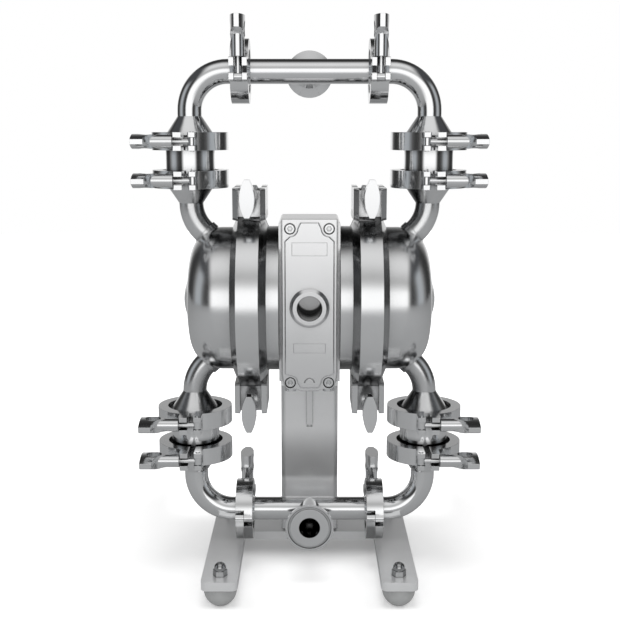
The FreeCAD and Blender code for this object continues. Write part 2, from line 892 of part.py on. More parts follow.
def cover_outline(depth_side):
    """Outline of a cover plate: square at the top, rounded about the lower screws, with a middle lobe."""
    top = cover_top(depth_side)
    half = cover_width / 2
    screw = -cover_screw_z
    corner = cover_corner_radius
    diagonal = corner / math.sqrt(2)
    return [
        (-half, top),
        (-half, -panel_side_bottom),
        (-cover_screw_x - corner, screw),
        (-cover_screw_x, screw - corner, -cover_screw_x - diagonal, screw - diagonal),
        (-cover_lobe_half - cover_lobe_slope, screw - corner),
        (-cover_lobe_half, -cover_lobe_bottom),
        (cover_lobe_half, -cover_lobe_bottom),
        (cover_lobe_half + cover_lobe_slope, screw - corner),
        (cover_screw_x, screw - corner),
        (cover_screw_x + corner, screw, cover_screw_x + diagonal, screw - diagonal),
        (half, -panel_side_bottom),
        (half, top),
    ]


def panel_outline(depth_side):
    """Outline of the raised panel: full width between the screws' heights, narrow between the screws."""
    top = cover_top(depth_side) - panel_margin
    reach = panel_screw_clearance
    step = reach / math.sqrt(2)
    outline = []
    for side in (1, -1):
        screw_x = side * cover_screw_x
        corners = [
            (side * panel_neck_half, -panel_bottom),
            (screw_x - side * reach, -cover_screw_z),
            (screw_x, -cover_screw_z + reach, screw_x - side * step, -cover_screw_z + step),
            (side * panel_half_width, -panel_side_bottom),
            (side * panel_half_width, panel_side_top),
            (screw_x, cover_screw_z - reach),
            (screw_x - side * reach, cover_screw_z, screw_x - side * step, cover_screw_z - step),
            (side * panel_neck_half, top),
        ]
        if side == 1:
            outline += corners
        else:
            outline += reversed_outline(corners)
    return outline


def reversed_outline(points):
    """The same outline run backwards, with each arc kept on its own span."""
    result = []
    carried = ()
    for point in reversed(points):
        result.append(point[:2] + carried)
        carried = point[2:]
    return result


def upright(shape, depth_side):
    """Stands an outline drawn in X and rise against the front or back of the pump, facing out."""
    if depth_side < 0:
        return oriented(shape, at_height(0, 0, 0), X_AXIS, Z_AXIS, Y_AXIS * -1)
    return oriented(shape, at_height(0, 0, 0), X_AXIS * -1, Z_AXIS, Y_AXIS)


def housing_cover(depth_side, boss_radius, face_radius, boss_height, port_radius, port_depth):
    """Cover plate with its raised panel, port boss, screw holes and pockets."""
    plate = prism(cover_outline(depth_side), cover_thickness, housing_half_depth)
    plate = upright(plate.makeFillet(cover_edge_radius, edges_at(plate, cover_face)), depth_side)
    panel = prism(panel_outline(depth_side), panel_height + CUT_MARGIN, cover_face - CUT_MARGIN)
    panel = panel.makeChamfer(panel_edge_depth, panel_edge_inset, edges_at(panel, panel_face))
    panel = upright(panel, depth_side)
    port = at_height(0, depth_side * panel_face, -front_port_drop)
    outwards = Vector(0, depth_side, 0)
    boss = turned([
        (0, -CUT_MARGIN),
        (boss_radius, -CUT_MARGIN),
        (boss_radius, 0),
        (face_radius, boss_height),
        (0, boss_height),
    ], port, outwards)
    cuts = [port_bore(depth_side, port_radius, port_depth), panel_arc(depth_side)]
    pocket_floor = depth_side * (cover_face - cover_screw_head_height)
    for x, rise in cover_screw_places():
        cuts.append(rod(cover_screw_pocket_radius, at_height(x, pocket_floor, rise),
                        at_height(x, depth_side * (panel_face + CUT_MARGIN), rise)))
        cuts.append(rod(cover_screw_shank_radius + fit_clearance, at_height(x, 0, rise),
                        at_height(x, pocket_floor, rise)))
    return joined([plate, panel, boss]).cut(cuts)


def panel_arc(depth_side):
    """Half-round groove in the panel's lower lobe, open side down."""
    outer = panel_arc_radius
    inner = outer - panel_arc_width
    groove = prism([
        (outer, -panel_arc_drop),
        (-outer, -panel_arc_drop, 0, outer - panel_arc_drop),
        (-inner, -panel_arc_drop),
        (inner, -panel_arc_drop, 0, inner - panel_arc_drop),
    ], panel_arc_depth + CUT_MARGIN, panel_face - panel_arc_depth)
    return upright(groove, depth_side)


def cover_screw(x, rise, depth_side):
    """Socket cap screw whose head fills the pocket."""
    outwards = Vector(0, depth_side, 0)
    seat = at_height(x, depth_side * (cover_face - cover_screw_head_height), rise)
    top = seat.add(outwards * cover_screw_head_height)
    shank = rod(cover_screw_shank_radius, seat.sub(outwards * cover_screw_length), seat)
    head = turned([
        (0, 0),
        (cover_screw_head_radius, 0),
        (cover_screw_head_radius, cover_screw_head_height - cover_screw_chamfer),
        (cover_screw_head_radius - cover_screw_chamfer, cover_screw_head_height),
        (0, cover_screw_head_height),
    ], seat, outwards)
    socket = hexagon(cover_screw_hex_flats, cover_screw_hex_depth + CUT_MARGIN,
                     top.add(outwards * CUT_MARGIN), outwards * -1)
    return head.fuse(shank).cut(socket)


def saddle_screw(x, y):
    seat = Vector(x, y, saddle_underside)
    shank = rod(saddle_screw_radius, seat, seat.add(Z_AXIS * saddle_screw_length))
    return shank.fuse(rod(saddle_screw_head_radius, seat.sub(Z_AXIS * saddle_screw_head_height), seat))


# Joint clamps


class JointClamp:
    """Two hinged jaws, a swing bolt and their pins, built about the ring's axis.

    Local X runs along the closed bolt, from the pivot ear to the slotted ear, local Y from the ring's
    axis to the bolt, and local Z along the ring's axis.
    """

    def __init__(self, rim_radius, ring_radius, lip_radius):
        self.rim_radius = rim_radius
        self.ring_radius = ring_radius
        self.lip_radius = lip_radius
        self.bolt_y = ring_radius + bolt_axis_outset
        self.root_y = ring_radius - ear_root_depth
        self.pin_y = hinge_pin_inset - ring_radius
        self.pivot = Vector(-pivot_offset, self.bolt_y, 0)

    def groove_half(self, radius):
        return ferrule_back(self.rim_radius, radius) + clamp_joint_clearance

    def ring(self):
        return Part.makeCylinder(self.ring_radius, clamp_width, Vector(0, 0, -clamp_width / 2))

    def cavity(self):
        rim = self.rim_radius + clamp_rim_clearance
        end = clamp_width / 2 + CUT_MARGIN
        return turned([
            (0, -end),
            (self.lip_radius, -end),
            (self.lip_radius, -self.groove_half(self.lip_radius)),
            (rim, -self.groove_half(rim)),
            (rim, self.groove_half(rim)),
            (self.lip_radius, self.groove_half(self.lip_radius)),
            (self.lip_radius, end),
            (0, end),
        ])

    def half_space(self, side):
        far = self.ring_radius + CUT_MARGIN
        near = ear_gap / 2
        low_x, high_x = sorted((side * near, side * far))
        return block((low_x, -far, -clamp_width), (high_x, far, clamp_width))

    def knuckle(self, level):
        """Hinge knuckle that fills the lower or upper half of the width."""
        height = (clamp_width - knuckle_side_gap) / 2
        bottom = -clamp_width / 2 if level < 0 else knuckle_side_gap / 2
        return Part.makeCylinder(knuckle_radius, height, Vector(0, self.pin_y, bottom))

    def knuckle_room(self, level):
        height = clamp_width / 2 + knuckle_side_gap / 2 + CUT_MARGIN
        bottom = -height + knuckle_side_gap / 2 if level < 0 else -knuckle_side_gap / 2
        return Part.makeCylinder(knuckle_radius + knuckle_clearance, height, Vector(0, self.pin_y, bottom))

    def slot(self):
        top = self.bolt_y + ear_end_length + CUT_MARGIN
        reach = slotted_ear_face + ear_thickness
        return block((-reach, self.ring_radius, -ear_slot_width / 2), (reach, top, ear_slot_width / 2))

    def jaw(self, side, ear):
        """Half ring with an ear; side is -1 for the pivot jaw and 1 for the slotted jaw."""
        body = self.ring().common(self.half_space(side)).cut(self.knuckle_room(-side))
        solid = joined([body, ear, self.knuckle(side)])
        hinge_hole = Part.makeCylinder(hinge_pin_radius + pin_clearance, 2 * clamp_width,
                                       Vector(0, self.pin_y, -clamp_width))
        pivot_hole = Part.makeCylinder(pivot_pin_radius + fit_clearance, 2 * clamp_width,
                                       Vector(-pivot_offset, self.bolt_y, -clamp_width))
        return solid.cut([self.cavity(), hinge_hole, pivot_hole, self.slot()])

    def pivot_jaw(self):
        near = -ear_gap / 2
        far = near - ear_thickness
        end = self.bolt_y + ear_end_length
        corner = ear_corner_radius
        bend = corner * (1 - math.sqrt(0.5))
        ear = prism([
            (near, self.root_y),
            (near, end - corner),
            (near - corner, end, near - bend, end - bend),
            (far + corner, end),
            (far, end - corner, far + bend, end - bend),
            (far, self.root_y),
        ], clamp_width, -clamp_width / 2)
        return self.jaw(-1, ear)

    def slotted_jaw(self):
        """The ear's outer face is round about the pivot, so that the nut clears it as the bolt swings."""
        near = ear_gap / 2
        far = slotted_ear_face
        face_radius = far + pivot_offset
        end_angle = math.asin(ear_end_length / face_radius)
        end_x = face_radius * math.cos(end_angle) - pivot_offset
        mid_x = face_radius * math.cos(end_angle / 2) - pivot_offset
        mid_y = self.bolt_y + face_radius * math.sin(end_angle / 2)
        end_y = self.bolt_y + ear_end_length
        ear = prism([
            (near, self.root_y),
            (far, self.root_y),
            (far, self.bolt_y),
            (end_x, end_y, mid_x, mid_y),
            (near, end_y),
        ], clamp_width, -clamp_width / 2)
        return self.jaw(1, ear)

    def hinge_pin(self):
        return Part.makeCylinder(hinge_pin_radius, clamp_width, Vector(0, self.pin_y, -clamp_width / 2))

    def pivot_pin(self):
        start = self.pivot.sub(Z_AXIS * (pivot_pin_length / 2))
        return Part.makeCylinder(pivot_pin_radius, pivot_pin_length, start)

    def swing_bolt(self):
        """Eye bolt on the pivot pin."""
        eye = Part.makeCylinder(bolt_eye_radius, bolt_eye_thickness,
                                self.pivot.sub(Z_AXIS * (bolt_eye_thickness / 2)))
        shank = rod(bolt_radius, self.pivot, self.pivot.add(X_AXIS * bolt_length))
        hole = Part.makeCylinder(pivot_pin_radius + pin_clearance, 2 * bolt_eye_thickness,
                                 self.pivot.sub(Z_AXIS * bolt_eye_thickness))
        return eye.fuse(shank).cut(hole)

    def wing_nut(self):
        seat = Vector(nut_face, self.bolt_y, 0)
        return oriented(wing_nut(bolt_radius), seat, Y_AXIS, Z_AXIS, X_AXIS)


def wing_nut(thread_radius):
    """Barrel that flares into two flat wings, with a round hole through them; built along Z."""
    straight = nut_length - nut_wing_length
    flare_x = nut_wing_half * 0.34
    flare_z = nut_blade_start + (straight - nut_blade_start) * 0.68
    plan = prism([
        (-nut_blade_root_half, nut_blade_start, -flare_x, flare_z),
        (nut_blade_root_half, nut_blade_start),
        (nut_wing_half, straight, flare_x, flare_z),
        (nut_wing_half, nut_length),
        (-nut_wing_half, nut_length),
        (-nut_wing_half, straight),
    ], nut_thickness, -nut_thickness / 2)
    plan = oriented(plan, ORIGIN, X_AXIS, Z_AXIS, Y_AXIS * -1)
    lens = prism([
        (-nut_wing_half, -nut_tip_thickness / 2),
        (nut_wing_half, -nut_tip_thickness / 2, 0, -nut_thickness / 2),
        (nut_wing_half, nut_tip_thickness / 2),
        (-nut_wing_half, nut_tip_thickness / 2, 0, nut_thickness / 2),
    ], nut_length)
    taper = prism([
        (-nut_root_thickness / 2, nut_blade_start),
        (nut_root_thickness / 2, nut_blade_start),
        (nut_thickness / 2, straight),
        (nut_thickness / 2, nut_length),
        (-nut_thickness / 2, nut_length),
        (-nut_thickness / 2, straight),
    ], 2 * nut_wing_half, -nut_wing_half)
    taper = oriented(taper, ORIGIN, Y_AXIS, Z_AXIS, X_AXIS)
    blade = plan.common(lens).common(taper)
    barrel = Part.makeCylinder(nut_barrel_radius, nut_barrel_length)
    hole_z = nut_length - nut_hole_setback
    through_hole = rod(nut_hole_radius, Vector(0, -nut_thickness, hole_z), Vector(0, nut_thickness, hole_z))
    thread = rod(thread_radius + nut_thread_clearance, Vector(0, 0, -CUT_MARGIN), Vector(0, 0, hole_z))
    return blade.fuse(barrel).cut([through_hole, thread])


def band_nut(side, up):
    seat = at_height(side * band_offset, -nut_plane, up * band_bolt_rise)
    return oriented(wing_nut(band_bolt_radius), seat, Z_AXIS, X_AXIS * -1, Y_AXIS * -1)


LARGE_CLAMP = JointClamp(large_ferrule_radius, large_clamp_radius, large_clamp_lip)
SMALL_CLAMP = JointClamp(small_ferrule_radius, small_clamp_radius, small_clamp_lip)


def clamp_places():
    """Name, clamp, centre, bolt direction and direction from ring to bolt of all twelve clamps."""
    places = []
    for circuit, sign in (("discharge", 1), ("suction", -1)):
        for side_name, side in (("left", -1), ("right", 1)):
            outwards = Vector(side, 0, 0)
            forwards = Y_AXIS * -1
            prefix = circuit + "_" + side_name
            for level, offset in (("top", valve_length / 2), ("bottom", -valve_length / 2)):
                centre = at_height(side * leg_offset, 0, sign * valve_rise + offset)
                places.append((prefix + "_" + level, LARGE_CLAMP, centre, outwards, forwards))
            centre = at_height(side * manifold_joint_offset, 0, sign * manifold_rise)
            bolt_side = forwards * sign
            places.append((prefix + "_manifold", SMALL_CLAMP, centre, Z_AXIS, bolt_side))
    return places


# Stand


def base_frame():
    """Two flat runners and the cross plate between them."""
    pieces = []
    for side in (1, -1):
        low_x, high_x = sorted((side * runner_inner, side * (runner_inner + runner_width)))
        runner = block((low_x, -runner_half_length, foot_height), (high_x, runner_half_length, base_top))
        uprights = [edge for edge in runner.Edges if edge.BoundBox.ZLength > runner_thickness / 2]
        runner = runner.makeFillet(runner_corner_radius, uprights)
        for y in (-foot_y, foot_y):
            runner = runner.cut(rod(stud_radius + stud_clearance,
                                    Vector(side * runner_centre, y, foot_height - CUT_MARGIN),
                                    Vector(side * runner_centre, y, base_top + CUT_MARGIN)))
        pieces.append(runner)
    plate = block((-runner_inner, cross_plate_front, foot_height),
                  (runner_inner, cross_plate_front + cross_plate_depth, base_top))
    return pieces + [plate]


def stand_column():
    """Folded column with a gusset and a saddle plate under the housing, welded into one piece."""
    back = column_front + column_depth
    half = column_width / 2
    column = block((-half, column_front, base_top), (half, back, saddle_underside))
    folds = [edge for edge in column.Edges if edge.BoundBox.ZLength > CUT_MARGIN
             and edge.BoundBox.YMax < column_front + CUT_MARGIN]
    column = column.makeFillet(column_bend_radius, folds)
    inside = block((column_wall - half, column_front + column_wall, base_top - CUT_MARGIN),
                   (half - column_wall, back + CUT_MARGIN, saddle_underside + CUT_MARGIN))
    column = column.cut(inside)
    saddle_half_depth = housing_half_depth - housing_boss_depth - saddle_clearance
    saddle = block((-saddle_half_width, -saddle_half_depth, saddle_underside),
                   (saddle_half_width, saddle_half_depth, saddle_top))
    gusset_foot = saddle_underside - gusset_drop
    gusset = prism([
        (column_front + CUT_MARGIN, gusset_foot),
        (column_front + CUT_MARGIN, saddle_underside),
        (column_front - gusset_reach, saddle_underside),
        (column_front - gusset_foot_reach, gusset_foot),
    ], gusset_thickness, -gusset_thickness / 2)
    gusset = oriented(gusset, ORIGIN, Y_AXIS, Z_AXIS, X_AXIS)
    cuts = [block((-gusset_thickness / 2, column_front - CUT_MARGIN, gusset_foot - gusset_slot_height),
                  (gusset_thickness / 2, column_front + gusset_slot_depth, gusset_foot))]
    for side in (1, -1):
        low_x, high_x = sorted((side * half, side * (half - column_notch_width)))
        cuts.append(block((low_x - CUT_MARGIN, column_front - CUT_MARGIN, base_top - CUT_MARGIN),
                          (high_x + CUT_MARGIN, column_front + column_wall + CUT_MARGIN,
                           base_top + column_notch_height)))
    for x, y in saddle_screw_places():
        cuts.append(rod(saddle_screw_radius + saddle_screw_clearance,
                        Vector(x, y, saddle_underside - CUT_MARGIN),
                        Vector(x, y, saddle_top + CUT_MARGIN)))
    return joined([column, saddle, gusset]).cut(cuts)


def foot_places():
    return [(side * runner_centre, y) for side in (1, -1) for y in (-foot_y, foot_y)]


def foot(x, y):
    """Domed foot with its stud, which passes through the runner into the cap nut."""
    dome_height = foot_height - foot_rim_height
    quarter = math.sqrt(0.5)
    outline = [
        (0, 0),
        (foot_flat_radius, 0),
        (foot_radius, dome_height, foot_radius * quarter, dome_height * (1 - quarter)),
        (foot_radius, foot_height),
        (0, foot_height),
    ]
    dome = turned(outline, Vector(x, y, 0))
    stud = Part.makeCylinder(stud_radius, runner_thickness + cap_nut_hex_height, Vector(x, y, foot_height))
    return dome.fuse(stud)


def foot_cap_nut(x, y):
    """Acorn nut: hexagon with a round cap over the stud's end."""
    base = Vector(x, y, base_top)
    acorn_radius = cap_nut_flats / 2 - cap_nut_chamfer
    acorn_rise = cap_nut_height - cap_nut_hex_height
    acorn = turned([
        (0, 0),
        (acorn_radius, 0),
        (acorn_radius, acorn_rise - acorn_radius),
        cap(acorn_radius, acorn_rise - acorn_radius, acorn_radius),
    ], base.add(Z_AXIS * cap_nut_hex_height))
    hexa = hexagon(cap_nut_flats, cap_nut_hex_height, base, Z_AXIS)
    thread = Part.makeCylinder(stud_radius + fit_clearance, cap_nut_hex_height + fit_clearance, base)
    return hexa.fuse(acorn).cut(thread)


def valve_places():
    places = []
    for circuit, sign in (("discharge", 1), ("suction", -1)):
        for side_name, side in (("left", -1), ("right", 1)):
            places.append((circuit + "_" + side_name, side, sign * valve_rise))
    return places


def main():
    os.makedirs("parts", exist_ok=True)

    export("base_frame", base_frame())
    export("stand_column", [stand_column()])
    export("feet", [foot(x, y) for x, y in foot_places()])
    export("foot_cap_nuts", [foot_cap_nut(x, y) for x, y in foot_places()])

    export("center_housing", [center_housing()])
    export("front_cover", [housing_cover(-1, front_port_boss_radius, front_port_face_radius,
                                         front_port_boss_height, front_port_radius, front_port_depth)])
    export("rear_cover", [housing_cover(1, rear_port_boss_radius, rear_port_boss_radius,
                                        rear_port_boss_height, rear_port_radius, rear_port_depth)])
    screws = [saddle_screw(x, y) for x, y in saddle_screw_places()]
    for depth_side in (1, -1):
        screws += [cover_screw(x, rise, depth_side) for x, rise in cover_screw_places()]
    export("housing_screws", screws)

    cover = air_cover()
    export("air_covers", [cover, mirrored(cover, X_AXIS)])
    dome = fluid_cover()
    export("fluid_cover_right", [dome])
    export("fluid_cover_left", [mirrored(dome, X_AXIS)])
    sheet = diaphragm()
    export("diaphragms", [sheet, mirrored(sheet, X_AXIS)])
    export("diaphragm_shaft", [diaphragm_shaft()])
    plates = diaphragm_plates()
    export("diaphragm_plates", plates + [mirrored(plate, X_AXIS) for plate in plates])
    export("shaft_bushings", [shaft_bushing(side) for side in (1, -1)])
    export("air_valve_spool", [air_valve_spool()])

    export("clamp_bands", [band_half(side, front) for side in (1, -1) for front in (True, False)])
    export("band_bolts", [band_bolt(side, up) for side in (1, -1) for up in (1, -1)])
    for side_name, side in (("left", -1), ("right", 1)):
        for level, up in (("top", 1), ("bottom", -1)):
            export("band_nut_" + side_name + "_" + level, [band_nut(side, up)])

    export("corner_elbows", four_quarters(elbow()))
    tee = manifold()
    export("suction_manifold", [tee])
    export("discharge_manifold", [mirrored(mirrored(tee, Z_AXIS), Y_AXIS)])
    gaskets = []
    for sign in (1, -1):
        gaskets += [manifold_gasket(side, sign * manifold_rise) for side in (1, -1)]
    export("manifold_gaskets", gaskets)

    export("valve_spools", [valve_spool(side, rise) for name, side, rise in valve_places()])
    export("valve_seats", [valve_seat(side, rise) for name, side, rise in valve_places()])
    export("ball_cages", [ball_cage(side, rise) for name, side, rise in valve_places()])
    for name, side, rise in valve_places():
        export("valve_ball_" + name, [valve_ball(side, rise)])

    shared = {"pivot_jaws": [], "slotted_jaws": [], "clamp_pins": []}
    for name, clamp, centre, bolt_direction, bolt_side in clamp_places():
        ring_axis = bolt_direction.cross(bolt_side)

        def in_place(shape):
            return oriented(shape, centre, bolt_direction, bolt_side, ring_axis)

        shared["pivot_jaws"].append(in_place(clamp.pivot_jaw()))
        shared["slotted_jaws"].append(in_place(clamp.slotted_jaw()))
        shared["clamp_pins"] += [in_place(clamp.hinge_pin()), in_place(clamp.pivot_pin())]
        export("swing_bolt_" + name, [in_place(clamp.swing_bolt())])
        export("wing_nut_" + name, [in_place(clamp.wing_nut())])
    for name, shapes in shared.items():
        export(name, shapes)


main()
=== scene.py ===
import json
import math

import bmesh
import bpy
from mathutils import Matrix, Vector


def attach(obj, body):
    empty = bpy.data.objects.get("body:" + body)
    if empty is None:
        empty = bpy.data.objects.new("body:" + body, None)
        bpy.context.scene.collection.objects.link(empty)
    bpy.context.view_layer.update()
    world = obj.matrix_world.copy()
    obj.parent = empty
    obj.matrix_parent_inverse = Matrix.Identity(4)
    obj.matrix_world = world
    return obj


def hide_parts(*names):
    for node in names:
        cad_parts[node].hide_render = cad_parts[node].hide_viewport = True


# Looks of the air-operated double-diaphragm pump, in metres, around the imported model.
# Names that end in SHADE, DARK or LEVEL are shares or greys from 0 to 1.

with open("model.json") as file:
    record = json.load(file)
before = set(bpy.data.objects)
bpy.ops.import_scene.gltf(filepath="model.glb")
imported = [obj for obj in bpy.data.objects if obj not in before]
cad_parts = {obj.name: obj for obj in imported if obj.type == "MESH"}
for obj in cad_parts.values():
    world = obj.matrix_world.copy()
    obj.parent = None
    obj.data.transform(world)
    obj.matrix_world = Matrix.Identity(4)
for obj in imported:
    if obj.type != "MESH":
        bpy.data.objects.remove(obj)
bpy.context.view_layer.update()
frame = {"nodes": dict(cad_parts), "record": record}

# Housing and its air ports, with painted shade in their bores and a painted highlight at the bores' far
# ends;
# the highlight's rise, reach and core are shares of the port's radius
AXIS_HEIGHT = 0.3093
PANEL_FACE = 0.0596
FRONT_PORT_RADIUS = 0.01285
REAR_PORT_RADIUS = 0.0095
PORT_DROP = 0.001
PORT_HIGHLIGHT_RISE = 0.3
PORT_HIGHLIGHT_REACH = 1.06
PORT_HIGHLIGHT_CORE = 0.88
PORT_HIGHLIGHT_LEVEL = 0.5
BORE_MARGIN = 0.0002
PAINTED_SHADE_LEVEL = 0.03

# Manifolds, with painted shade in their bores and on the edge of each port's gasket groove
MANIFOLD_RISE = 0.2374
TUBE_BORE = 0.01105
TUBE_PAINTED_SHADE_LEVEL = 0.22
GROOVE_PLACE = 0.057
GROOVE_EDGE = 0.02275
GROOVE_SHADE_HALF = 0.0004

# Fluid and air covers, with their painted shade beside the stubs
COVER_RADIUS = 0.0775
COVER_SHADE_START = 0.057
COVER_SHADE_END = 0.066
COVER_SHADE = 0.65
STUB_START = 0.099
STUB_FULL = 0.107
RIDGE_START = 0.010
RIDGE_END = 0.032

# Column, valve necks and clamp undersides, with the heights between which painted shade darkens them
COLUMN_SHADE_HIGH = 0.160
COLUMN_SHADE_FULL = 0.120
COLUMN_SHADE_EDGE = 0.1005
COLUMN_SHADE_LOW = 0.0935
COLUMN_SHADE = 0.44
NECK_SHADE_START = 0.161
NECK_SHADE_END = 0.153
NECK_SHADE = 0.7
JAW_SHADE_START = 0.065
JAW_SHADE_END = 0.061
JAW_SHADE = 0.55

# Clamp bands and their lugs, with painted shade on the bands' crowns beside the lugs and on their flanks
BAND_OFFSET = 0.0622
BAND_RADIUS = 0.095
BAND_CROWN_HALF = 0.0112
LUG_SHADE_START = 0.067
LUG_SHADE_END = 0.073
CROWN_SHADE = 0.85
FLANK_SHADE = 0.6
LUG_DEPTH = 0.011
LUG_FRONT = 0.037
LUG_INSIDE = 0.0114
LUG_OUTSIDE = 0.017
LUG_SLANT = 0.0029
SHARP_ANGLE_DEG = 30.0

# Clamps of the suction manifold
LOWER_CLAMP_OFFSET = 0.0712
LOWER_CLAMP_TOP = 0.12
LOWER_CLAMP_HALF = 0.0095

# Bare outlines on the front panel: name, half width, and lower and upper edge from the pump's axis
OUTLINES = [
    ("upper_plate_outline", 0.018, 0.0523, 0.0659),
    ("lower_plate_outline", 0.0165, -0.048, -0.038),
]
OUTLINE_WIDTH = 0.0004
OUTLINE_RISE = 0.00015
OUTLINE_SUNK = 0.0001

# Floor
FLOOR_RADIUS = 4.0
FLOOR_SEGMENTS = 96
FLOOR_COLOUR = (0.84, 0.84, 0.84, 1.0)
FLOOR_IN_METAL = (0.23, 0.234, 0.238, 1.0)
FLOOR_SIDE_LEVEL = 0.11
FLOOR_SIDE_START = 0.45
FLOOR_SIDE_END = 0.75
NEAREST_REACH = 0.1

# Camera
CAMERA_PLACE = (0.0, -1.0966, 0.4873)
CAMERA_PITCH_DEG = 9.9
CAMERA_LENS_MM = 60.0
CAMERA_SENSOR_MM = 36.0
IMAGE_WIDTH = 620
PRINCIPAL_U = 309.5

# Colours of the metals
TUBE_COLOUR = (0.915, 0.92, 0.925)
CAST_COLOUR = (0.90, 0.905, 0.91)
STAND_COLOUR = (0.88, 0.885, 0.89)

# Unevenness of the metals' polish, grain and edges, and the painted shade in their creases
METAL_PATCH_SCALE = 18.0
METAL_PATCH_DETAIL = 4.0
METAL_GRAIN_DETAIL = 6.0
METAL_GRAIN_DEPTH = 0.0001
METAL_CLOUD = 0.03
NOISE_ROUGHNESS = 0.6
PATCH_LOW = 0.3
PATCH_HIGH = 0.7
EDGE_SAMPLES = 4
EDGE_START = 0.999
EDGE_END = 0.9
EDGE_SHARE = 0.06
EDGE_GAIN = 1.12
EDGE_LIFT = 0.05
CREASE_SAMPLES = 4
CREASE_START = 0.25

# Unevenness of rubber and plastic
PLAIN_PATCH_SCALE = 45.0
PLAIN_PATCH_DETAIL = 5.0
PLAIN_SKIN_DETAIL = 3.0
PLAIN_SKIN_ROUGHNESS = 0.5
PLAIN_SKIN_DEPTH = 0.0002
PLAIN_SPREAD = 0.12
PLAIN_SPECULAR = 0.4
PLAIN_CLOUD = 0.06

# Grey of the floor's glow in metal, by metres in front of the pump
FLOOR_RUN_UP = [
    (-2.2, 0.60),
    (-1.4, 0.35),
    (-0.7, 0.02),
    (0.3, 0.13),
    (1.0, 0.13),
    (1.25, 0.12),
    (1.65, 0.23),
    (2.05, 0.36),
    (3.0, 0.70),
]

# Grey of the floor's glow to the camera, by metres from the pump's middle: painted light that lightens
# the shadows near the pump by set amounts and brings the floor up to white further away
FLOOR_FADE = [
    (0.0, 0.46),
    (0.07, 0.40),
    (0.12, 0.28),
    (0.20, 0.30),
    (0.30, 0.33),
    (0.45, 0.50),
    (0.9, 1.0),
]

# Areas behind the pump where the floor's glow has a grey of its own: a weak one, so that the shadow
# under the stand's cross plate shows dark, and painted light over the front lamp's shadow further
# behind. Columns: where they start and are full towards the rear, where they are full and end towards
# the sides, and their grey
FLOOR_AREAS = [
    (0.025, 0.06, 0.085, 0.115, 0.10),
    (0.13, 0.24, 0.14, 0.20, 0.90),
]

# Grey of the studio in metal, by degrees from the front horizon over the zenith to the rear horizon
STUDIO_OVER = [
    (-8.0, 0.90),
    (-3.0, 1.12),
    (14.0, 1.12),
    (19.0, 1.0),
    (23.0, 0.74),
    (28.0, 0.55),
    (35.0, 0.44),
    (44.0, 0.58),
    (52.0, 0.69),
    (62.0, 0.74),
    (71.0, 0.71),
    (78.0, 0.60),
    (86.0, 0.42),
    (94.0, 0.17),
    (102.0, 0.056),
    (120.0, 0.022),
    (136.0, 0.036),
    (145.0, 0.07),
    (152.0, 0.15),
    (160.0, 0.29),
    (168.0, 0.42),
    (178.0, 0.85),
]

# Grey or colour of the studio's side walls in metal, by degrees from the front round to the rear
STUDIO_WALLS = [
    (46, 0.04),
    (56, 0.09),
    (64, (0.24, 0.25, 0.26)),
    (70, (0.37, 0.39, 0.41)),
    (84, (0.40, 0.42, 0.44)),
    (92, (0.28, 0.29, 0.30)),
    (98, 0.20),
    (106, 0.065),
    (116, 0.035),
    (130, 0.035),
    (139, 0.12),
    (148, 0.34),
    (162, 0.50),
    (174, 0.75),
]
WALL_TOP_START = 0.45
WALL_TOP_END = 0.62
WALL_TOP_COLOUR = (0.06, 0.062, 0.066, 1.0)
WALL_SIDE_START = 0.38
WALL_SIDE_END = 0.62
DIFFUSE_LEVEL = 0.50

# Lamps: name, place, target, width, height and power
SOFTBOXES = [
    ("overhead", (0.0, -1.08, 2.4), (0.0, 0.0, 0.0), 0.9, 0.9, 20.0),
    ("front", (0.0, -2.4, 1.4), (0.0, 0.0, 0.3), 1.4, 1.0, 17.0),
    ("left", (-1.6, -0.6, 1.8), (0.0, 0.0, 0.0), 1.0, 1.0, 6.0),
    ("right", (1.6, -0.6, 1.8), (0.0, 0.0, 0.0), 1.0, 1.0, 6.0),
]


def grey(level):
    """Opaque grey."""
    return (level, level, level, 1.0)


def placed(name, data):
    """Object with this mesh, light or camera, linked into the scene."""
    piece = bpy.data.objects.new(name, data)
    bpy.context.scene.collection.objects.link(piece)
    return piece


